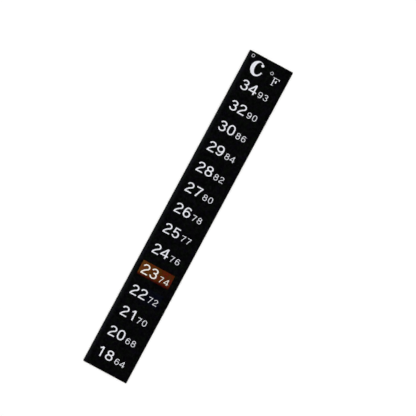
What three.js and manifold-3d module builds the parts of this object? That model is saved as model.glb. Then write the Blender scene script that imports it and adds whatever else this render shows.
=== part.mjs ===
// Stick-on liquid crystal thermometer strip for the outside of an aquarium wall.
//
// The strip is a laminate, cut to one outline. From the back to the face it has a paper release
// liner, a pressure-sensitive adhesive, a black backing coat, fourteen liquid crystal cells, the
// white printed scale and a clear polyester film. The cells lie in pockets of the black coat, and
// the printed numbers lie in pockets of the cells, all level under the film. The strip peels off
// its liner, so the liner is one body and the other layers are the other.
//
// Millimetres, +Z out of the face, +Y towards the scale's head, origin under the liner's centre.
import * as THREE from 'three';
import { mergeVertices } from 'three/addons/utils/BufferGeometryUtils.js';
import Module from 'manifold-3d';

const wasm = await Module();
wasm.setup();

// ---- Driving dimensions ----

// The cut outline that every full layer shares
const LENGTH = 130;
const WIDTH = 18;
const CORNER = 0.3; // cut straight off each corner

// Layer thicknesses
const LINER = 0.1;
const ADHESIVE = 0.1;
const BLACK_UNDER_CELLS = 0.04;
const CELL = 0.05;
const WHITE_INK = 0.02;
const FILM = 0.13;

// Heights of the layers' undersides
const Z_ADHESIVE = LINER;
const Z_BLACK = Z_ADHESIVE + ADHESIVE;
const Z_CELLS = Z_BLACK + BLACK_UNDER_CELLS;
const Z_FILM = Z_CELLS + CELL;
const Z_INK = Z_FILM - WHITE_INK;

// The scale: Celsius and Fahrenheit readings from the head of the strip down
const READINGS = [
  [34, 93], [32, 90], [30, 86], [29, 84], [28, 82], [27, 80], [26, 78],
  [25, 77], [24, 76], [23, 74], [22, 72], [21, 70], [20, 68], [18, 64],
];
const LIT_READING = 23;
const FIRST_BASELINE = LENGTH / 2 - 14.25;
const ROW_PITCH = 8.57;

// One cell, and where its centre sits from its row's baseline
const CELL_WIDTH = 13.05;
const CELL_HEIGHT = 5.6;
const CELL_X = -0.32;
const CELL_Y = 1.88;

// Figures: their height, how far round ones pass it, and half the width and height of their oval nib
const FIGURE_HEIGHT = 3.77;
const OVERSHOOT = 0.07;
const BAR_DROP = 0.06; // from the figures' height down to the bars of the five and seven
const NIB_X = 0.27;
const NIB_Y = 0.215;

// Numbers: place of the first figure, spacing and scale of the figures, and weight of their nib
const CELSIUS = { x: -4.5, y: 0, spacing: 3.48, scale: 1, nib: 1 };
const FAHRENHEIT = { x: 2.22, y: 0.06, spacing: 2.26, scale: 0.6, nib: 0.8 };
const CELSIUS_SHIFT = { 21: 0.5, 18: -0.15 };

// Hairline tie that makes a number's two figures one printed body, and where it meets the figures
// that have no ink in their middle
const TIE_Y = 0.2;
const TIE_HEIGHT = 0.06;
const TIE_END = { 4: 0.6, 7: -0.3 };

// Unit letters and degree rings at the strip's head
const LETTERS_Y = LENGTH / 2 - 7.98;
const RING_WIDTH = 0.54; // half, as is each ring's height
const RING_LINE = 0.145;
const CELSIUS_RING = { x: -6.92, y: LENGTH / 2 - 1.35, height: 0.6 };
const FAHRENHEIT_RING = { x: 2.27, y: LENGTH / 2 - 3.92, height: 0.54 };

const ARC_STEP = 36; // degrees between two points of a figure's curve
const BEND_STEPS = 3;
const CUT_STRETCH = 10; // makes a cutter this many times as tall as its print, to leave no skin

// ---- Solids ----

function solidOf(geometry) {
  geometry.deleteAttribute('normal');
  geometry.deleteAttribute('uv');
  const merged = mergeVertices(geometry);
  return new wasm.Manifold(new wasm.Mesh({
    numProp: 3,
    vertProperties: merged.attributes.position.array,
    triVerts: new Uint32Array(merged.index.array),
  }));
}

function geometryOf(solid) {
  const mesh = solid.getMesh();
  const geometry = new THREE.BufferGeometry();
  geometry.setAttribute('position', new THREE.BufferAttribute(mesh.vertProperties, 3));
  geometry.setIndex(new THREE.BufferAttribute(mesh.triVerts, 1));
  geometry.computeVertexNormals();
  return geometry;
}

function union(solids) {
  return solids.reduce((whole, solid) => whole.add(solid));
}

function extrude(shape, depth) {
  return new THREE.ExtrudeGeometry(shape, { depth, bevelEnabled: false });
}

// ---- Print ----

function vector(x, y) {
  return new THREE.Vector2(x, y);
}

// A closed outline through a list of points, as one printed body
function print(points) {
  return solidOf(extrude(new THREE.Shape(points), WHITE_INK));
}

function bar(x0, y0, x1, y1) {
  return print([vector(x0, y0), vector(x1, y0), vector(x1, y1), vector(x0, y1)]);
}

// A closed ring of print between two outlines
function printRing(outer, inner) {
  const ring = new THREE.Shape(outer);
  ring.holes.push(new THREE.Path(inner));
  return solidOf(extrude(ring, WHITE_INK));
}

// Points along an ellipse between two angles in degrees, clockwise if the second is the lower
function arc(x, y, radiusX, radiusY, from, to) {
  const turn = THREE.MathUtils.DEG2RAD;
  const curve = new THREE.EllipseCurve(x, y, radiusX, radiusY, from * turn, to * turn, to < from);
  return curve.getPoints(Math.ceil(Math.abs(to - from) / ARC_STEP));
}

function oval(x, y, radiusX, radiusY) {
  return arc(x, y, radiusX, radiusY, 0, 360).slice(0, -1);
}

function bend(start, pull, end) {
  return new THREE.QuadraticBezierCurve(start, pull, end).getPoints(BEND_STEPS);
}

// ---- Pen ----

// An oval nib. Figures drawn with a lighter one are as tall, with thinner strokes.
class Pen {
  constructor(weight) {
    this.x = NIB_X * weight;
    this.y = NIB_Y * weight;
    this.top = FIGURE_HEIGHT + OVERSHOOT - this.y;
    this.foot = this.y - OVERSHOOT;
  }

  // How far the nib reaches to the right of a line from one point to another
  reach(before, after) {
    const side = vector(after.y - before.y, before.x - after.x).normalize();
    const length = Math.hypot(this.x * side.x, this.y * side.y);
    return vector(this.x ** 2 * side.x / length, this.y ** 2 * side.y / length);
  }

  // The line along one side of a stroke: 1 is its right, -1 its left
  edge(points, closed, side) {
    const last = points.length - 1;
    return points.map((point, i) => {
      const before = points[closed ? (i + last) % (last + 1) : Math.max(i - 1, 0)];
      const after = points[closed ? (i + 1) % (last + 1) : Math.min(i + 1, last)];
      return point.clone().addScaledVector(this.reach(before, after), side);
    });
  }

  stroke(points) {
    return print([...this.edge(points, false, 1), ...this.edge(points, false, -1).reverse()]);
  }

  // A straight stroke whose left edge runs from start to end
  slant(start, end) {
    const across = this.reach(start, end).multiplyScalar(2);
    return print([start, end, end.clone().add(across), start.clone().add(across)]);
  }

  loop(points) {
    return printRing(this.edge(points, true, 1), this.edge(points, true, -1));
  }

  level(x0, x1, foot) {
    return bar(x0, foot, x1, foot + 2 * this.y);
  }

  upright(x, foot, top) {
    return bar(x - this.x, foot, x + this.x, top);
  }
}

// ---- Figures, each drawn about x = 0 with its foot on y = 0 ----

function figureZero(pen) {
  const upper = arc(0, 2.35, 1.13, pen.top + 0.05 - 2.35, 0, 180);
  const lower = arc(0, 1.55, 1.13, 1.55 - pen.y, 180, 360);
  return [pen.loop([...upper, ...lower])];
}

function figureOne(pen) {
  return [pen.upright(0.24, 0.05, FIGURE_HEIGHT + 0.06), pen.stroke(arc(-0.96, 3.9, 0.9, 0.85, -88, -6))];
}

function figureTwo(pen) {
  const bowl = arc(0.01, 2.75, 1.08, pen.top - 2.75, 174, -58);
  const slope = bend(bowl.at(-1), vector(-0.88, 1.22), vector(-1.06, 0.28));
  return [pen.stroke([...bowl, ...slope.slice(1)]), pen.level(-1.06 - pen.x, 1.35, 0)];
}

function figureThree(pen) {
  const middle = 2.06;
  const upper = (pen.top + middle) / 2;
  const lower = (pen.foot + middle) / 2;
  return [
    pen.stroke(arc(-0.03, upper, 1.02, pen.top - upper, 172, -90)),
    pen.level(-0.34, 0, middle - pen.y),
    pen.stroke(arc(-0.03, lower, 1.14, lower - pen.foot, 90, -172)),
  ];
}

function figureFour(pen) {
  const barFoot = 0.83;
  return [
    pen.upright(0.66, 0, FIGURE_HEIGHT),
    pen.level(-1.58, 1.55, barFoot),
    pen.slant(vector(-1.58, barFoot + 2 * pen.y), vector(0.66 - pen.x, FIGURE_HEIGHT)),
  ];
}

function figureFive(pen) {
  const barFoot = FIGURE_HEIGHT - BAR_DROP - 2 * pen.y;
  return [
    pen.level(-0.69 - pen.x, 1.15, barFoot),
    pen.stroke([vector(-0.69, barFoot + 0.3), vector(-0.93, 1.64)]),
    pen.stroke(arc(0, 1.2, 1.12, 1.2 - pen.foot, 143, -160)),
  ];
}

function figureSix(pen) {
  const bowl = oval(0.05, 1.18, 1.14, 1.18 - pen.foot);
  const back = arc(0.05, 1.72, 1.14, 1.86, 180, 90);
  const hook = arc(0.05, 2.77, 1.05, 0.81, 84, 16);
  return [pen.stroke([vector(-1.09, 1.18), ...back, ...hook]), pen.loop(bowl)];
}

// The leg's right edge starts at the bar's corner
function figureSeven(pen) {
  const corner = vector(1.33, FIGURE_HEIGHT - BAR_DROP - 2 * pen.y);
  const pull = vector(0.36, 2.1);
  const leg = bend(corner.clone().add(pen.reach(corner, pull)), pull, vector(-0.37, 0));
  return [pen.level(-1.22, corner.x, corner.y), pen.stroke(leg)];
}

function figureEight(pen) {
  return [
    pen.loop(oval(0, 2.84, 0.99, pen.top - 2.84)),
    pen.loop(oval(0, 1.1, 1.16, 1.1 - pen.foot)),
  ];
}

// The ten figures. The nine is the six turned half round.
function figures(pen) {
  const drawn = [
    figureZero(pen), figureOne(pen), figureTwo(pen), figureThree(pen), figureFour(pen),
    figureFive(pen), figureSix(pen), figureSeven(pen), figureEight(pen),
  ].map(union);
  return [...drawn, drawn[6].rotate([0, 0, 180]).translate([0, FIGURE_HEIGHT, 0])];
}

// A printed number of two figures and their tie
function number(value, figureSet, place, shift) {
  const [first, second] = String(value);
  const spacing = place.spacing / place.scale;
  const tie = bar(TIE_END[first] ?? 0, TIE_Y, spacing + (TIE_END[second] ?? 0), TIE_Y + TIE_HEIGHT);
  return union([figureSet[first], figureSet[second].translate([spacing, 0, 0]), tie])
    .scale([place.scale, place.scale, 1])
    .translate([place.x + shift, place.y, 0]);
}

// ---- Unit letters, drawn where they print across the strip, with their foot on y = 0 ----

// A crescent between two ovals, heavy on its left, with a ball on its upper end
function letterC() {
  const crescent = [
    ...arc(-3.35, 3.05, 2.15, 2.91, 50, 83),
    ...arc(-3.35, 3.05, 2.58, 2.91, 90, 270),
    ...arc(-3.35, 3.05, 2.4, 2.91, 277, 347),
    ...arc(-3.04, 3.25, 1.66, 2.4, 341, 277),
    ...arc(-3.04, 3.25, 1.37, 2.4, 270, 54),
  ];
  return union([print(crescent), print(oval(-2, 4.83, 0.56, 0.52))]);
}

function letterF() {
  const topSerif = [[5.72, 3.06], [6.01, 2.52], [6.12, 2.52], [6.09, 3.18], [5.72, 3.18]];
  const armSerif = [[4.76, 1.78], [4.98, 1.3], [5.26, 1.3], [5.26, 2.26], [4.98, 2.26]];
  return union([
    bar(3.84, 0.1, 4.16, 3.18),
    bar(3.52, 0.1, 4.6, 0.21),
    bar(3.4, 3.01, 6, 3.18),
    bar(4.1, 1.74, 5.1, 1.82),
    print(topSerif.map(([x, y]) => vector(x, y))),
    print(armSerif.map(([x, y]) => vector(x, y))),
  ]);
}

function degreeRing({ x, y, height }) {
  const half = RING_LINE / 2;
  return printRing(
    oval(x, y, RING_WIDTH + half, height + half),
    oval(x, y, RING_WIDTH - half, height - half),
  );
}

// ---- Layers and cells ----

// A full layer. Its corners are cut straight, because a rounded corner is a cluster of points on
// which a rigid sheet can rock, and the ends of four cuts hold it level.
function layer(thickness) {
  const x = WIDTH / 2;
  const y = LENGTH / 2;
  const outline = [
    vector(x, y - CORNER), vector(x - CORNER, y), vector(CORNER - x, y), vector(-x, y - CORNER),
    vector(-x, CORNER - y), vector(CORNER - x, -y), vector(x - CORNER, -y), vector(x, CORNER - y),
  ];
  return extrude(new THREE.Shape(outline), thickness);
}

function cellBlank(thickness) {
  return solidOf(new THREE.BoxGeometry(CELL_WIDTH, CELL_HEIGHT, thickness))
    .translate([CELL_X, CELL_Y, thickness / 2]);
}

// A cell with pockets in its face for the numbers
function cellAround(numbers) {
  const cutter = union(numbers).scale([1, 1, CUT_STRETCH]).translate([0, 0, Z_INK - Z_CELLS]);
  return cellBlank(CELL).subtract(cutter);
}

// ---- Materials ----

function finish(color, roughness, options = {}) {
  return new THREE.MeshStandardMaterial({ color, roughness, metalness: 0, ...options });
}

const MATERIALS = {
  film: finish(0xe8eef2, 0.12, { transparent: true, opacity: 0.12 }),
  whiteInk: finish(0xdedee4, 0.45),
  blackInk: finish(0x0a0a0c, 0.5),
  darkCrystal: finish(0x0d0d10, 0.4),
  litCrystal: finish(0x54280f, 0.35),
  adhesive: finish(0xe4dfc8, 0.6, { transparent: true, opacity: 0.7 }),
  linerPaper: finish(0xece4cf, 0.7),
};

function part(name, geometry, material, z) {
  const mesh = new THREE.Mesh(geometry, material.clone()); // each piece has a material of its own
  mesh.name = name;
  mesh.position.z = z;
  return mesh;
}

// ---- Assembly ----

const strip = new THREE.Group();
const blackPockets = [];
const largeFigures = figures(new Pen(CELSIUS.nib));
const smallFigures = figures(new Pen(FAHRENHEIT.nib));

strip.add(part('adhesive_layer', layer(ADHESIVE), MATERIALS.adhesive, Z_ADHESIVE));
strip.add(part('face_film', layer(FILM), MATERIALS.film, Z_FILM));

READINGS.forEach(([celsius, fahrenheit], i) => {
  const row = new THREE.Group();
  row.position.y = FIRST_BASELINE - i * ROW_PITCH;
  const inCelsius = number(celsius, largeFigures, CELSIUS, CELSIUS_SHIFT[celsius] ?? 0);
  const inFahrenheit = number(fahrenheit, smallFigures, FAHRENHEIT, 0);
  const cell = cellAround([inCelsius, inFahrenheit]);
  const crystal = celsius === LIT_READING ? MATERIALS.litCrystal : MATERIALS.darkCrystal;
  row.add(part(`crystal_cell_${celsius}`, geometryOf(cell), crystal, Z_CELLS));
  row.add(part(`celsius_${celsius}`, geometryOf(inCelsius), MATERIALS.whiteInk, Z_INK));
  row.add(part(`fahrenheit_${fahrenheit}`, geometryOf(inFahrenheit), MATERIALS.whiteInk, Z_INK));
  strip.add(row);
  blackPockets.push(cellBlank(CUT_STRETCH * CELL).translate([0, row.position.y, Z_CELLS - Z_BLACK]));
});

const signs = {
  celsius_letter: letterC().translate([0, LETTERS_Y, 0]),
  fahrenheit_letter: letterF().translate([0, LETTERS_Y, 0]),
  celsius_degree_ring: degreeRing(CELSIUS_RING),
  fahrenheit_degree_ring: degreeRing(FAHRENHEIT_RING),
};
for (const [name, sign] of Object.entries(signs)) {
  strip.add(part(name, geometryOf(sign), MATERIALS.whiteInk, Z_INK));
  blackPockets.push(sign.scale([1, 1, CUT_STRETCH]).translate([0, 0, Z_INK - Z_BLACK]));
}

const blackCoat = solidOf(layer(Z_FILM - Z_BLACK)).subtract(union(blackPockets));
strip.add(part('black_backing', geometryOf(blackCoat), MATERIALS.blackInk, Z_BLACK));

const thermometer = new THREE.Group();
thermometer.add(part('release_liner', layer(LINER), MATERIALS.linerPaper, 0));
thermometer.add(strip);

export default thermometer;
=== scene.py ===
"""Looks of a stick-on liquid crystal thermometer strip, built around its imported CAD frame.

Each layer of the laminate is made here as a finer sheet in the place of its CAD solid: the paper
liner, the adhesive, the black coat, the liquid crystal cells, the white print and the clear film.
Shapes are drawn in millimetres and written into the pieces in metres.
"""
import math

import bmesh
import bpy
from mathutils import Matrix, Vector, noise


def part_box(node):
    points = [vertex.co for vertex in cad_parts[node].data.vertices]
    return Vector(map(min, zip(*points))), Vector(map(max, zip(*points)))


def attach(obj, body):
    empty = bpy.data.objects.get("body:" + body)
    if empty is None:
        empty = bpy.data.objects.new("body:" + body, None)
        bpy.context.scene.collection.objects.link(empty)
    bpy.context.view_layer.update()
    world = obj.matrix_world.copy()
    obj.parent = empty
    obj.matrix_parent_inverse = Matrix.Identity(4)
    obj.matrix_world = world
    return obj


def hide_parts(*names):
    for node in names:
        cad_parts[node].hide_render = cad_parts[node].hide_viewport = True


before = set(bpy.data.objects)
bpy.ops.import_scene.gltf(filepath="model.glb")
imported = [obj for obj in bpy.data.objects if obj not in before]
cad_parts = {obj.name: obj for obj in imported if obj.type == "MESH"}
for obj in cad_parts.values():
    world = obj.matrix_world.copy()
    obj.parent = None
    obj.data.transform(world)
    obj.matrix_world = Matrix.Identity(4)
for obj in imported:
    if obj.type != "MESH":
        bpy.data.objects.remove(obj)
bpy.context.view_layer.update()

MM = 0.001

# ---- The scale ----

# Degrees Celsius and Fahrenheit of each row, from the head down
READINGS = [
    (34, 93), (32, 90), (30, 86), (29, 84), (28, 82), (27, 80), (26, 78),
    (25, 77), (24, 76), (23, 74), (22, 72), (21, 70), (20, 68), (18, 64),
]
LIT_READING = 23
COOLING_READING = 22

# Figures: height, how far round ones pass it, how far the bars of the five and seven lie below it,
# the oval nib's half width and half height, and the two sizes of number. The smaller is drawn with
# a lighter nib.
FIGURE_HEIGHT = 3.77
OVERSHOOT = 0.07
BAR_DROP = 0.06
NIB_X = 0.27
NIB_Y = 0.215
CELSIUS = {"x": -4.5, "y": 0.0, "spacing": 3.48, "scale": 1.0, "nib": 1.0}
FAHRENHEIT = {"x": 2.22, "y": 0.06, "spacing": 2.26, "scale": 0.6, "nib": 0.8}
CELSIUS_SHIFT = {21: 0.5, 18: -0.15}  # how far these two numbers are to the right of the others
CELL_FOOT = 0.92  # how far a cell reaches below its row's baseline

# Unit letters: how far their foot is below the head edge
LETTERS_DROP = 7.98

# Degree rings: half their width and height, their line's thickness, and how far their centres are
# below the head edge
RING_WIDTH = 0.54
RING_LINE = 0.145
CELSIUS_RING = {"x": -6.92, "drop": 1.35, "height": 0.6}
FAHRENHEIT_RING = {"x": 2.27, "drop": 3.92, "height": 0.54}

# ---- Sheets ----

CORNER = 0.3
SMALLEST_CORNER = 0.05
EDGE_STEPS = 3
FILM_EDGE = 0.03
FILM_GRID = 1.0
FILM_RIPPLE = 0.003
RIPPLE_SCALE = 0.12  # ripples in a millimetre
LINER_EDGE = 0.015
LINER_GRID = 2.0
AIR = 0.004  # gap that keeps the film's underside off the print
CUTTER_RISE = 1  # how far a cutter stands out of what it cuts

# ---- Curves ----

ARC_STEP = 7  # most degrees between two points
BEND_STEPS = 10


def layer_heights(node):
    """Underside and top of a CAD layer, in millimetres."""
    low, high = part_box(node)
    return low.z / MM, high.z / MM


def strip_size():
    """Half the width and half the length of the cut outline, in millimetres."""
    low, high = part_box("face_film")
    return (high.x - low.x) / 2 / MM, (high.y - low.y) / 2 / MM


HALF_WIDTH, HALF_LENGTH = strip_size()


# ---- Solids ----

def arc(x, y, radius_x, radius_y, start, end):
    """Points along an ellipse between two angles in degrees."""
    steps = max(2, math.ceil(abs(end - start) / ARC_STEP))
    angles = [math.radians(start + (end - start) * i / steps) for i in range(steps + 1)]
    return [(x + radius_x * math.cos(a), y + radius_y * math.sin(a)) for a in angles]


def bend(start, pull, end):
    """Points along a curve from start to end that is pulled towards a third point."""
    points = []
    for i in range(BEND_STEPS + 1):
        t = i / BEND_STEPS
        points.append(tuple(
            (1 - t) ** 2 * a + 2 * t * (1 - t) * b + t * t * c for a, b, c in zip(start, pull, end)
        ))
    return points


def mesh_of(bm, name="solid"):
    """A mesh of what was built, with its faces turned outwards."""
    bmesh.ops.recalc_face_normals(bm, faces=bm.faces[:])
    mesh = bpy.data.meshes.new(name)
    bm.to_mesh(mesh)
    bm.free()
    return mesh


def prism(outlines, bottom, top):
    """A closed solid between two heights, over an outline and any holes that follow it."""
    bm = bmesh.new()
    edges = []
    for outline in outlines:
        corners = [bm.verts.new((x, y, bottom)) for x, y in outline]
        edges += [bm.edges.new(pair) for pair in zip(corners, corners[1:] + corners[:1])]
    bmesh.ops.triangle_fill(bm, edges=edges, use_beauty=True)
    raised = bmesh.ops.extrude_face_region(bm, geom=bm.faces[:])["geom"]
    corners = [item for item in raised if isinstance(item, bmesh.types.BMVert)]
    bmesh.ops.translate(bm, verts=corners, vec=(0, 0, top - bottom))
    return mesh_of(bm)


def combine(meshes, operation):
    """The first mesh with the others joined to it (UNION) or cut from it (DIFFERENCE)."""
    objects = [bpy.data.objects.new("operand", mesh) for mesh in meshes]
    for solid in objects:
        bpy.context.scene.collection.objects.link(solid)
    for other in objects[1:]:
        modifier = objects[0].modifiers.new("combine", "BOOLEAN")
        modifier.operation = operation
        modifier.solver = "EXACT"
        modifier.object = other
    evaluated = objects[0].evaluated_get(bpy.context.evaluated_depsgraph_get())
    result = bpy.data.meshes.new_from_object(evaluated)
    for solid in objects:
        bpy.data.objects.remove(solid)
    return result


def placed(mesh, x, y, scale=1.0, turn=0.0):
    """A copy of a mesh, turned by an angle in degrees, scaled across the sheet and moved."""
    copy = mesh.copy()
    bm = bmesh.new()
    bm.from_mesh(copy)
    cos, sin = math.cos(math.radians(turn)), math.sin(math.radians(turn))
    for corner in bm.verts:
        across, along = corner.co.x * scale, corner.co.y * scale
        corner.co.x = x + across * cos - along * sin
        corner.co.y = y + across * sin + along * cos
    bm.to_mesh(copy)
    bm.free()
    return copy


def joined(meshes):
    """Several separate solids as one mesh."""
    bm = bmesh.new()
    for mesh in meshes:
        bm.from_mesh(mesh)
    return mesh_of(bm)


def stretched(mesh, bottom, top):
    """A copy of a prism with its two heights changed."""
    copy = mesh.copy()
    middle = sum(v.co.z for v in copy.vertices) / len(copy.vertices)
    for corner in copy.vertices:
        corner.co.z = top if corner.co.z > middle else bottom
    return copy


def piece(name, mesh, body, node, slot, *materials):
    """A finished piece in metres that stands for a CAD node and moves with its body."""
    for corner in mesh.vertices:
        corner.co *= MM
    mesh.name = name
    for material in materials:
        mesh.materials.append(material)
    made = bpy.data.objects.new(name, mesh)
    bpy.context.scene.collection.objects.link(made)
    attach(made, body)
    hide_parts(node)
    return made


# ---- Print ----

Z_INK, Z_PRINT_TOP = layer_heights("celsius_34")


def shape(points):
    """A printed body over one outline."""
    return prism([points], Z_INK, Z_PRINT_TOP)


def bar(x0, y0, x1, y1):
    return shape([(x0, y0), (x1, y0), (x1, y1), (x0, y1)])


def oval(x, y, radius_x, radius_y):
    """A closed outline, so its last point isn't its first one again."""
    return arc(x, y, radius_x, radius_y, 0, 360)[:-1]


class Pen:
    """An oval nib. Figures drawn with a lighter one are as tall, with thinner strokes."""

    def __init__(self, weight):
        self.x = NIB_X * weight
        self.y = NIB_Y * weight
        self.top = FIGURE_HEIGHT + OVERSHOOT - self.y
        self.foot = self.y - OVERSHOOT

    def reach(self, before, after):
        """How far the nib reaches to the right of a line from one point to another."""
        side = Vector((after[1] - before[1], before[0] - after[0])).normalized()
        length = math.hypot(self.x * side.x, self.y * side.y)
        return self.x ** 2 * side.x / length, self.y ** 2 * side.y / length

    def edge(self, points, closed, side):
        """The line along one side of a stroke: 1 is its right, -1 its left."""
        last = len(points) - 1
        line = []
        for i, (x, y) in enumerate(points):
            before = points[i - 1] if closed or i > 0 else points[0]
            after = points[(i + 1) % (last + 1)] if closed or i < last else points[last]
            dx, dy = self.reach(before, after)
            line.append((x + side * dx, y + side * dy))
        return line

    def stroke(self, points):
        """A line of print along some points."""
        return shape(self.edge(points, False, 1) + self.edge(points, False, -1)[::-1])

    def slant(self, start, end):
        """A straight stroke whose left edge runs from start to end."""
        dx, dy = self.reach(start, end)
        return shape([
            start, end, (end[0] + 2 * dx, end[1] + 2 * dy), (start[0] + 2 * dx, start[1] + 2 * dy),
        ])

    def loop(self, points):
        """A line of print along some points and back to the first."""
        edges = [self.edge(points, True, 1), self.edge(points, True, -1)]
        return prism(edges, Z_INK, Z_PRINT_TOP)

    def level(self, x0, x1, foot):
        return bar(x0, foot, x1, foot + 2 * self.y)

    def upright(self, x, foot, top):
        return bar(x - self.x, foot, x + self.x, top)


# ---- Figures, each drawn about x = 0 with its foot on y = 0 ----

def figure_zero(pen):
    width = 1.13
    shoulder = 2.35
    hip = 1.55
    upper = arc(0, shoulder, width, pen.top + 0.05 - shoulder, 0, 180)
    lower = arc(0, hip, width, hip - pen.y, 180, 360)
    return [pen.loop(upper + lower)]


def figure_one(pen):
    flag = arc(-0.96, 3.9, 0.9, 0.85, -88, -6)
    return [pen.upright(0.24, 0.05, FIGURE_HEIGHT + 0.06), pen.stroke(flag)]


def figure_two(pen):
    middle = 2.75
    bowl = arc(0.01, middle, 1.08, pen.top - middle, 174, -58)
    slope = bend(bowl[-1], (-0.88, 1.22), (-1.06, 0.28))
    return [pen.stroke(bowl + slope[1:]), pen.level(-1.06 - pen.x, 1.35, 0)]


def figure_three(pen):
    middle = 2.06
    upper = (pen.top + middle) / 2
    lower = (pen.foot + middle) / 2
    return [
        pen.stroke(arc(-0.03, upper, 1.02, pen.top - upper, 172, -90)),
        pen.level(-0.34, 0, middle - pen.y),
        pen.stroke(arc(-0.03, lower, 1.14, lower - pen.foot, 90, -172)),
    ]


def figure_four(pen):
    bar_foot = 0.83
    left = -1.58
    stem = 0.66
    return [
        pen.upright(stem, 0, FIGURE_HEIGHT),
        pen.level(left, 1.55, bar_foot),
        pen.slant((left, bar_foot + 2 * pen.y), (stem - pen.x, FIGURE_HEIGHT)),
    ]


def figure_five(pen):
    bar_foot = FIGURE_HEIGHT - BAR_DROP - 2 * pen.y
    left = -0.69
    middle = 1.2
    return [
        pen.level(left - pen.x, 1.15, bar_foot),
        pen.stroke([(left, bar_foot + 0.3), (-0.93, 1.64)]),
        pen.stroke(arc(0, middle, 1.12, middle - pen.foot, 143, -160)),
    ]


def figure_six(pen):
    x = 0.05
    width = 1.14
    middle = 1.18
    bowl = oval(x, middle, width, middle - pen.foot)
    back = arc(x, 1.72, width, 1.86, 180, 90)
    hook = arc(x, 2.77, 1.05, 0.81, 84, 16)
    return [pen.stroke([(x - width, middle)] + back + hook), pen.loop(bowl)]


def figure_seven(pen):
    """The leg's right edge starts at the bar's corner."""
    bar_foot = FIGURE_HEIGHT - BAR_DROP - 2 * pen.y
    corner = (1.33, bar_foot)
    pull = (0.36, 2.1)
    dx, dy = pen.reach(corner, pull)
    leg = bend((corner[0] + dx, corner[1] + dy), pull, (-0.37, 0))
    return [pen.level(-1.22, corner[0], bar_foot), pen.stroke(leg)]


def figure_eight(pen):
    upper = 2.84
    lower = 1.1
    return [
        pen.loop(oval(0, upper, 0.99, pen.top - upper)),
        pen.loop(oval(0, lower, 1.16, lower - pen.foot)),
    ]


def make_figures(pen):
    """The ten figures as solids. The nine is the six turned half round."""
    drawn = [
        figure_zero(pen), figure_one(pen), figure_two(pen), figure_three(pen), figure_four(pen),
        figure_five(pen), figure_six(pen), figure_seven(pen), figure_eight(pen),
    ]
    figures = [combine(strokes, "UNION") for strokes in drawn]
    return figures + [placed(figures[6], 0, FIGURE_HEIGHT, turn=180)]


def number(figures, value, place, shift, baseline):
    """A printed number of two figures, as one mesh."""
    y = baseline + place["y"]
    return joined([
        placed(figures[int(figure)], place["x"] + i * place["spacing"] + shift, y, place["scale"])
        for i, figure in enumerate(str(value))
    ])


# ---- Unit letters, with their foot on y = 0 ----

def letter_c():
    """A crescent between two ovals, heavy on its left, with a ball on its upper end."""
    outer = [(2.15, 50, 83), (2.58, 90, 270), (2.4, 277, 347)]  # half widths and angles
    inner = [(1.66, 341, 277), (1.37, 270, 54)]
    points = []
    for width, start, end in outer:
        points += arc(-3.35, 3.05, width, 2.91, start, end)
    for width, start, end in inner:
        points += arc(-3.04, 3.25, width, 2.4, start, end)
    return combine([shape(points), shape(oval(-2.0, 4.83, 0.56, 0.52))], "UNION")


def letter_f():
    stem = bar(3.84, 0.1, 4.16, 3.18)
    foot = bar(3.52, 0.1, 4.6, 0.21)
    top = bar(3.4, 3.01, 6.0, 3.18)
    arm = bar(4.1, 1.74, 5.1, 1.82)
    top_tip = shape([(5.72, 3.06), (6.01, 2.52), (6.12, 2.52), (6.09, 3.18), (5.72, 3.18)])
    arm_tip = shape([(4.76, 1.78), (4.98, 1.3), (5.26, 1.3), (5.26, 2.26), (4.98, 2.26)])
    return combine([stem, foot, top, arm, top_tip, arm_tip], "UNION")


def degree_ring(place):
    half = RING_LINE / 2
    y = HALF_LENGTH - place["drop"]
    ovals = [oval(place["x"], y, RING_WIDTH + d, place["height"] + d) for d in (half, -half)]
    return prism(ovals, Z_INK, Z_PRINT_TOP)


# ---- Sheets of the laminate ----

def outline(inset=0.0):
    """The cut outline with its rounded corners, moved in by an inset."""
    radius = max(CORNER - inset, SMALLEST_CORNER)
    x = HALF_WIDTH - inset - radius
    y = HALF_LENGTH - inset - radius
    corners = [(x, y, 0), (-x, y, 90), (-x, -y, 180), (x, -y, 270)]
    return [p for cx, cy, start in corners for p in arc(cx, cy, radius, radius, start, start + 90)]


def sliced(bm, spacing):
    """Cuts a sheet's faces along a square grid, so that it can be bent a little."""
    for axis, half in ((Vector((1, 0, 0)), HALF_WIDTH), (Vector((0, 1, 0)), HALF_LENGTH)):
        count = int(2 * half / spacing)
        for i in range(1, count):
            place = axis * (-half + 2 * half * i / count)
            bmesh.ops.bisect_plane(
                bm, geom=bm.verts[:] + bm.edges[:] + bm.faces[:], plane_co=place, plane_no=axis
            )


def edge_profile(bottom, top, edge):
    """Heights and insets of a sheet's rim, from its underside up and over its rounded edge."""
    profile = [(bottom, 0.0)]
    for i in range(EDGE_STEPS + 1):
        angle = math.pi / 2 * i / EDGE_STEPS
        profile.append((top - edge * (1 - math.sin(angle)), edge * (1 - math.cos(angle))))
    return profile


def sheet(bottom, top, edge, spacing, ripple):
    """A thin sheet with its top edge rounded over and its top rippled by a fraction of a hair."""
    bm = bmesh.new()
    loops = []
    for height, inset in edge_profile(bottom, top, edge):
        loops.append([bm.verts.new((x, y, height)) for x, y in outline(inset)])
    for lower, upper in zip(loops, loops[1:]):
        count = len(lower)
        for i in range(count):
            j = (i + 1) % count
            bm.faces.new((lower[i], lower[j], upper[j], upper[i]))
    bm.faces.new(loops[0][::-1])
    bm.faces.new(loops[-1])
    sliced(bm, spacing)
    just_under_top = top - edge * 0.01
    for corner in bm.verts:
        if corner.co.z > just_under_top:
            corner.co.z -= ripple * (0.5 + 0.5 * noise.noise(corner.co * RIPPLE_SCALE))
    return mesh_of(bm)


# ---- Material nodes ----

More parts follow.
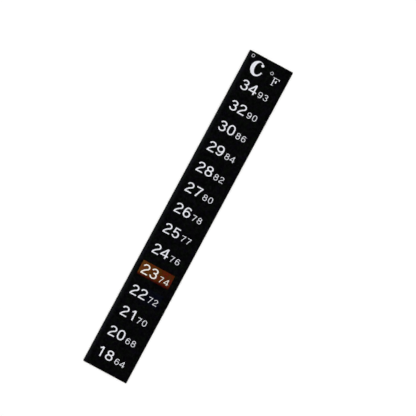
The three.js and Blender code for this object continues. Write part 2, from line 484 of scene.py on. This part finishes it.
def srgb(*values):
    """A colour given as 8-bit sRGB, in Blender's linear colour."""
    linear = [v / 255 / 12.92 if v <= 10 else ((v / 255 + 0.055) / 1.055) ** 2.4 for v in values]
    return (*linear, 1.0)


def grey(value):
    return (value, value, value, 1.0)


class Nodes:
    """A material and the few things that are done to its node tree."""

    def __init__(self, name):
        self.material = bpy.data.materials.new(name)
        self.material.use_nodes = True
        self.tree = self.material.node_tree
        self.tree.nodes.clear()
        self.output = self.tree.nodes.new("ShaderNodeOutputMaterial")
        self.place = self.add("TexCoord").outputs["Object"]

    def add(self, kind, **settings):
        node = self.tree.nodes.new("ShaderNode" + kind)
        for key, value in settings.items():
            setattr(node, key, value)
        return node

    def link(self, source, target):
        self.tree.links.new(source, target)

    def noise(self, scale, detail=3.0, roughness=0.5, stretch=(1, 1, 1), offset=(0, 0, 0)):
        """Noise with a scale in features per millimetre, stretched along the strip's axes."""
        mapping = self.add("Mapping")
        mapping.inputs["Scale"].default_value = [s / MM for s in stretch]
        mapping.inputs["Location"].default_value = offset
        texture = self.add("TexNoise")
        texture.inputs["Scale"].default_value = scale
        texture.inputs["Detail"].default_value = detail
        texture.inputs["Roughness"].default_value = roughness
        self.link(self.place, mapping.inputs["Vector"])
        self.link(mapping.outputs["Vector"], texture.inputs["Vector"])
        return texture.outputs["Fac"]

    def axis(self, name):
        """The place along one of the strip's axes, in metres."""
        split = self.add("SeparateXYZ")
        self.link(self.place, split.inputs[0])
        return split.outputs[name]

    def wavering(self, value, noise_value, amount):
        """A value with an amount of noise added to it."""
        node = self.add("Math", operation="MULTIPLY_ADD")
        self.link(noise_value, node.inputs[0])
        node.inputs[1].default_value = amount
        self.link(value, node.inputs[2])
        return node.outputs[0]

    def ramp(self, source, *stops):
        """A colour ramp from (position, colour) stops."""
        node = self.add("ValToRGB")
        elements = node.color_ramp.elements
        while len(elements) < len(stops):
            elements.new(0.5)
        for element, (position, colour) in zip(elements, stops):
            element.position = position
            element.color = colour
        self.link(source, node.inputs["Fac"])
        return node.outputs["Color"]

    def remap(self, source, low, high, new_low, new_high):
        """A value carried from one range to another and held at its ends."""
        node = self.add("MapRange")
        limits = {"From Min": low, "From Max": high, "To Min": new_low, "To Max": new_high}
        for key, value in limits.items():
            node.inputs[key].default_value = value
        self.link(source, node.inputs["Value"])
        return node.outputs["Result"]

    def mix(self, factor, first, second, blend="MIX"):
        """Two colours mixed by a factor. Each of the three is a value or a socket."""
        node = self.add("Mix", data_type="RGBA", blend_type=blend)
        sockets = (node.inputs[0], node.inputs[6], node.inputs[7])
        for socket, value in zip(sockets, (factor, first, second)):
            if isinstance(value, (float, tuple)):
                socket.default_value = value
            else:
                self.link(value, socket)
        return node.outputs[2]

    def bump(self, height, distance):
        """A surface normal from a height that spans a distance in millimetres."""
        node = self.add("Bump")
        node.inputs["Distance"].default_value = distance * MM
        self.link(height, node.inputs["Height"])
        return node.outputs["Normal"]

    def principled(self, colour, roughness, normal=None, specular=0.5):
        node = self.add("BsdfPrincipled")
        node.inputs["Roughness"].default_value = roughness
        node.inputs["Specular IOR Level"].default_value = specular
        self.link(colour, node.inputs["Base Color"])
        if normal is not None:
            self.link(normal, node.inputs["Normal"])
        return node.outputs["BSDF"]

    def mix_shaders(self, factor, first, second):
        node = self.add("MixShader")
        for source, socket in zip((factor, first, second), node.inputs):
            self.link(source, socket)
        return node.outputs[0]

    def done(self, surface):
        """The finished material, with this shader as its surface."""
        self.link(surface, self.output.inputs["Surface"])
        return self.material


# ---- Materials ----

# 8-bit sRGB tints of the white ink, plain and over the lit cell
WHITE = (218, 218, 224)
WARM_WHITE = (226, 220, 213)

NO_GLOW = (0.0, 0.0, 0.0)
BLUE_GLOW = (0.0003, 0.0006, 0.0036)
# How far in from the strip's left edge the painted sheen on the black coat reaches, in millimetres
PAINTED_SHEEN_WIDTH = 1.6


def white_ink(name, tint):
    """White print with a fine grain and faint clouds."""
    n = Nodes(name)
    grain = n.noise(2.2, detail=4, roughness=0.6)
    clouds = n.noise(0.25, detail=2, offset=(4.0, 0.0, 1.0))
    darker = srgb(*[c - 7 for c in tint])
    lighter = srgb(*[c + 3 for c in tint])
    shade = n.ramp(grain, (0.3, darker), (0.7, lighter))
    colour = n.mix(n.remap(clouds, 0.35, 0.65, 0.0, 0.5), shade, srgb(*tint))
    normal = n.bump(n.noise(6.0, detail=2), 0.01)
    return n.done(n.principled(colour, 0.55, normal, specular=0.0))


def near_black(n, brightness):
    """Black that wavers by a hair in depth and between the faintest green and blue."""
    mottle = n.noise(1.1, detail=5, roughness=0.7)
    hue = n.noise(0.55, detail=3, offset=(2.0, 5.0, 0.0))
    green = (0.55, 0.8, 0.5, 1)
    neutral = (0.7, 0.7, 0.75, 1)
    blue = (0.6, 0.5, 1.0, 1)
    cast = n.ramp(hue, (0.35, green), (0.5, neutral), (0.65, blue))
    depth = n.ramp(mottle, (0.35, grey(0.1)), (0.75, grey(1.0)))
    tint = n.mix(1.0, cast, depth, "MULTIPLY")
    return n.mix(1.0, tint, grey(brightness), "MULTIPLY")


def black_ink():
    """Black, with a faint grey sheen painted into its colour along the strip's left edge."""
    n = Nodes("black_ink")
    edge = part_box("black_backing")[0].x
    inwards = n.remap(n.axis("X"), edge, edge + PAINTED_SHEEN_WIDTH * MM, 0.0, 1.0)
    # Painted sheen: faint grey added to the black's colour, full near the left edge and fading out
    # inwards
    sheen = n.ramp(inwards, (0.3, (0.0045, 0.005, 0.006, 1)), (1.0, grey(0.0)))
    colour = n.mix(1.0, near_black(n, 0.0075), sheen, "ADD")
    normal = n.bump(n.noise(5.0, detail=3), 0.012)
    return n.done(n.principled(colour, 0.6, normal, specular=0.0))


def crystal_off(name, glow):
    """A cell away from its temperature: near black, with any trace of a glow towards its right."""
    n = Nodes(name)
    low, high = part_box(f"crystal_cell_{COOLING_READING}")
    right = n.remap(n.axis("X"), low.x, high.x, 0.0, 1.0)
    trace = n.ramp(right, (0.35, grey(0.0)), (0.8, (*glow, 1)))
    colour = n.mix(1.0, near_black(n, 0.007), trace, "ADD")
    normal = n.bump(n.noise(7.0, detail=3), 0.01)
    return n.done(n.principled(colour, 0.5, normal, specular=0.0))


def crystal_lit():
    """The cell at its temperature: olive brown at its left, dark red at its right and its foot."""
    n = Nodes("crystal_lit")
    low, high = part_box(f"crystal_cell_{LIT_READING}")
    across = n.remap(n.axis("X"), low.x, high.x, 0.0, 1.0)
    along = n.remap(n.axis("Y"), low.y, high.y, 0.0, 1.0)
    drift = n.wavering(across, n.noise(0.6, detail=4, roughness=0.65), 0.8)
    drifted = n.ramp(
        n.remap(drift, 0.2, 1.6, 0.0, 1.0),
        (0.1, srgb(93, 63, 24)),
        (0.35, srgb(82, 43, 14)),
        (0.65, srgb(73, 29, 9)),
        (0.95, srgb(66, 18, 17)),
    )
    speck = n.noise(1.5, detail=3, roughness=0.6, offset=(1.0, 3.0, 0.0))
    specks = n.ramp(
        speck,
        (0.38, srgb(62, 47, 6)),
        (0.5, srgb(76, 32, 8)),
        (0.62, srgb(110, 18, 14)),
    )
    field = n.mix(0.45, drifted, specks)
    sag = n.wavering(along, n.noise(0.8, detail=4, roughness=0.6), 0.25)
    foot = n.ramp(sag, (0.16, grey(0.0)), (0.34, grey(1.0)))
    colour = n.mix(foot, srgb(47, 4, 5), field)
    normal = n.bump(n.noise(7.0, detail=3), 0.01)
    return n.done(n.principled(colour, 0.45, normal, specular=0.0))


def film_face():
    """Clear film: it lets the print through and only adds the sheen of its face."""
    n = Nodes("film_face")
    fresnel = n.add("Fresnel")
    fresnel.inputs["IOR"].default_value = 1.52
    outside = n.remap(n.add("NewGeometry").outputs["Backfacing"], 0.0, 1.0, 1.0, 0.0)
    sheen = n.add("Math", operation="MULTIPLY")
    n.link(fresnel.outputs[0], sheen.inputs[0])
    n.link(outside, sheen.inputs[1])
    normal = n.bump(n.noise(0.35, detail=3, roughness=0.4), 0.004)
    gloss = n.add("BsdfGlossy", distribution="BECKMANN")
    gloss.inputs["Roughness"].default_value = 0.28
    n.link(normal, gloss.inputs["Normal"])
    clear = n.add("BsdfTransparent")
    clear.inputs["Color"].default_value = (0.985, 0.99, 0.99, 1)
    return n.done(n.mix_shaders(sheen.outputs[0], clear.outputs[0], gloss.outputs[0]))


def film_back():
    """The film's underside, which only lets the print through."""
    n = Nodes("film_back")
    haze = n.noise(0.8, detail=3)
    clear = n.add("BsdfTransparent")
    n.link(n.ramp(haze, (0.3, grey(0.99)), (0.7, grey(1.0))), clear.inputs["Color"])
    return n.done(clear.outputs[0])


def adhesive():
    """Milky and partly clear, in clouds."""
    n = Nodes("adhesive")
    cloud = n.noise(0.9, detail=4)
    colour = n.ramp(cloud, (0.3, srgb(196, 190, 168)), (0.7, srgb(222, 217, 198)))
    normal = n.bump(n.noise(3.0, detail=3), 0.02)
    solid = n.principled(colour, 0.35, normal)
    clear = n.add("BsdfTransparent")
    return n.done(n.mix_shaders(n.remap(cloud, 0.3, 0.7, 0.35, 0.6), clear.outputs[0], solid))


def liner_paper():
    """Cream paper with fibres that run both along and across it."""
    n = Nodes("liner_paper")
    fibres = n.noise(1.6, detail=5, roughness=0.7, stretch=(1, 0.25, 1))
    cross = n.noise(1.8, detail=5, roughness=0.7, stretch=(0.3, 1, 1), offset=(3.0, 1.0, 0.0))
    colour = n.ramp(fibres, (0.3, srgb(212, 202, 178)), (0.7, srgb(232, 224, 204)))
    pale = n.ramp(cross, (0.35, srgb(219, 210, 187)), (0.7, srgb(238, 231, 213)))
    normal = n.bump(fibres, 0.02)
    return n.done(n.principled(n.mix(0.5, colour, pale), 0.62, normal))


# ---- Pieces ----

def cell_block(celsius, rise=0):
    """The space that a crystal cell fills. With a rise it is a cutter for what the cell lies in."""
    low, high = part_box(f"crystal_cell_{celsius}")
    corners = [(low.x, low.y), (high.x, low.y), (high.x, high.y), (low.x, high.y)]
    return prism([[(x / MM, y / MM) for x, y in corners]], low.z / MM, high.z / MM + rise)


def print_cutter(mesh):
    """A cutter for what a piece of print lies in."""
    return stretched(mesh, Z_INK, Z_PRINT_TOP + CUTTER_RISE)


def make_row(celsius, numbers, crystal, slot, ink):
    """A cell and the numbers that lie in it."""
    patch = combine([cell_block(celsius), print_cutter(joined(numbers.values()))], "DIFFERENCE")
    piece(f"cell_{celsius}", patch, "strip", f"crystal_cell_{celsius}", slot, crystal)
    for node, mesh in numbers.items():
        piece("print_" + node, mesh, "strip", node, "white_ink", ink)


def make_rows(ink):
    """The cells and their numbers, from the head of the scale down."""
    large = make_figures(Pen(CELSIUS["nib"]))
    small = make_figures(Pen(FAHRENHEIT["nib"]))
    warm_ink = white_ink("white_ink_over_lit", WARM_WHITE)
    dark = crystal_off("crystal_dark", NO_GLOW)
    looks = {
        COOLING_READING: (crystal_off("crystal_cooling", BLUE_GLOW), "dark_crystal", ink),
        LIT_READING: (crystal_lit(), "lit_crystal", warm_ink),
    }
    for celsius, fahrenheit in READINGS:
        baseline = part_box(f"crystal_cell_{celsius}")[0].y / MM + CELL_FOOT
        shift = CELSIUS_SHIFT.get(celsius, 0)
        numbers = {
            f"celsius_{celsius}": number(large, celsius, CELSIUS, shift, baseline),
            f"fahrenheit_{fahrenheit}": number(small, fahrenheit, FAHRENHEIT, 0, baseline),
        }
        make_row(celsius, numbers, *looks.get(celsius, (dark, "dark_crystal", ink)))


def make_signs(ink):
    """The unit letters and degree rings. Returns cutters for the black coat that they lie in."""
    foot = HALF_LENGTH - LETTERS_DROP
    signs = {
        "celsius_letter": placed(letter_c(), 0, foot),
        "fahrenheit_letter": placed(letter_f(), 0, foot),
        "celsius_degree_ring": degree_ring(CELSIUS_RING),
        "fahrenheit_degree_ring": degree_ring(FAHRENHEIT_RING),
    }
    cutters = [print_cutter(mesh) for mesh in signs.values()]
    for node, mesh in signs.items():
        piece("print_" + node, mesh, "strip", node, "white_ink", ink)
    return cutters


def make_black_coat(sign_cutters):
    """The coat, with pockets for the unit letters, the degree rings and the cells."""
    cutters = sign_cutters + [cell_block(celsius, CUTTER_RISE) for celsius, _ in READINGS]
    full = prism([outline()], *layer_heights("black_backing"))
    coat = combine([full, joined(cutters)], "DIFFERENCE")
    piece("black_coat", coat, "strip", "black_backing", "black_ink", black_ink())


def make_film():
    """The film. Its underside has a material of its own."""
    bottom, top = layer_heights("face_film")
    mesh = sheet(bottom + AIR, top, FILM_EDGE, FILM_GRID, FILM_RIPPLE)
    film = piece("clear_film", mesh, "strip", "face_film", "clear_film", film_face(), film_back())
    for face in film.data.polygons:
        face.material_index = 1 if face.normal.z < -0.5 else 0


def make_adhesive():
    mesh = prism([outline()], *layer_heights("adhesive_layer"))
    piece("adhesive_sheet", mesh, "strip", "adhesive_layer", "adhesive", adhesive())


def make_liner():
    bottom, top = layer_heights("release_liner")
    mesh = sheet(bottom, top, LINER_EDGE, LINER_GRID, ripple=0.0)
    piece("paper_liner", mesh, "liner", "release_liner", "liner_paper", liner_paper())


# ---- Camera, floor and light ----

FRAME_WIDTH = 153.3  # what the picture shows across, at the strip
LENS = 120
SENSOR = 36
TILT = 28.27  # degrees that the strip is turned clockwise in the picture
STRIP_LEFT = 7.33  # how far the strip's centre is left of the picture's, and how far below it
STRIP_BELOW = 3.17

# Floor, in metres: its drop keeps it just clear of the liner
FLOOR_RADIUS = 4.0
FLOOR_DROP = 0.00005

# Soft boxes: size, distance along the floor and height in metres, and watts by bearing in degrees
LAMP_SIZE = 1.4
LAMP_DISTANCE = 1.3
LAMP_HEIGHT = 1.45
LAMP_WATTS = {45: 15.1, 135: 17, 225: 14.2, 315: 14.2}

# Room: how bright its horizon is, and how far up it is dark, from 0 to 1
HORIZON = 0.6
DARK_FROM = 0.85


def make_camera():
    """A camera straight over the strip, turned so that the strip leans in the picture."""
    turn = math.radians(TILT)
    right = Vector((math.cos(turn), math.sin(turn), 0))
    up = Vector((-math.sin(turn), math.cos(turn), 0))
    data = bpy.data.cameras.new("camera")
    data.lens = LENS
    data.sensor_width = SENSOR
    data.clip_start = 0.01
    camera = bpy.data.objects.new("camera", data)
    height = FRAME_WIDTH * LENS / SENSOR
    camera.location = (right * STRIP_LEFT + up * STRIP_BELOW + Vector((0, 0, height))) * MM
    camera.rotation_euler = (0, 0, turn)
    bpy.context.scene.collection.objects.link(camera)
    bpy.context.scene.camera = camera


def make_floor():
    """A plain pale disc."""
    n = Nodes("floor")
    clouds = n.noise(0.01, detail=2)
    colour = n.ramp(clouds, (0.3, grey(0.86)), (0.7, grey(0.88)))
    material = n.done(n.principled(colour, 0.9, specular=0.0))
    bm = bmesh.new()
    bmesh.ops.create_circle(bm, cap_ends=True, segments=96, radius=FLOOR_RADIUS)
    bmesh.ops.translate(bm, verts=bm.verts, vec=(0, 0, -FLOOR_DROP))
    mesh = mesh_of(bm, "floor")
    mesh.materials.append(material)
    floor = bpy.data.objects.new("floor", mesh)
    bpy.context.scene.collection.objects.link(floor)


def make_lights():
    """Four large soft boxes round the strip. The film's sheen comes from the room alone."""
    for bearing, watts in LAMP_WATTS.items():
        data = bpy.data.lights.new("soft_box", "AREA")
        data.shape = "SQUARE"
        data.size = LAMP_SIZE
        data.energy = watts
        light = bpy.data.objects.new("soft_box", data)
        angle = math.radians(bearing)
        across = LAMP_DISTANCE * math.cos(angle)
        along = LAMP_DISTANCE * math.sin(angle)
        place = Vector((across, along, LAMP_HEIGHT))
        light.location = place
        light.rotation_euler = place.to_track_quat("Z", "Y").to_euler()
        light.visible_glossy = False
        bpy.context.scene.collection.objects.link(light)


def make_world():
    """A pale room: bright towards the horizon, dark overhead, and plain white behind the strip."""
    world = bpy.data.worlds.new("room")
    bpy.context.scene.world = world
    world.use_nodes = True
    tree = world.node_tree
    tree.nodes.clear()
    place, axes, ramp, room, plain, path, mix, output = (
        tree.nodes.new("ShaderNode" + kind) for kind in (
            "TexCoord", "SeparateXYZ", "ValToRGB", "Background", "Background", "LightPath",
            "MixShader", "OutputWorld",
        )
    )
    horizon, overhead = ramp.color_ramp.elements
    horizon.color = grey(HORIZON)
    overhead.position = DARK_FROM
    overhead.color = grey(0.0)
    plain.inputs["Color"].default_value = grey(1.0)
    for source, target in (
        (place.outputs["Generated"], axes.inputs[0]),
        (axes.outputs["Z"], ramp.inputs["Fac"]),
        (ramp.outputs["Color"], room.inputs["Color"]),
        (path.outputs["Is Camera Ray"], mix.inputs[0]),
        (room.outputs[0], mix.inputs[1]),
        (plain.outputs[0], mix.inputs[2]),
        (mix.outputs[0], output.inputs["Surface"]),
    ):
        tree.links.new(source, target)


make_camera()
make_floor()
make_lights()
make_world()
make_liner()
make_adhesive()
white = white_ink("white_ink", WHITE)
make_rows(white)
make_black_coat(make_signs(white))
make_film()
bpy.context.scene.view_settings.view_transform = "Standard"
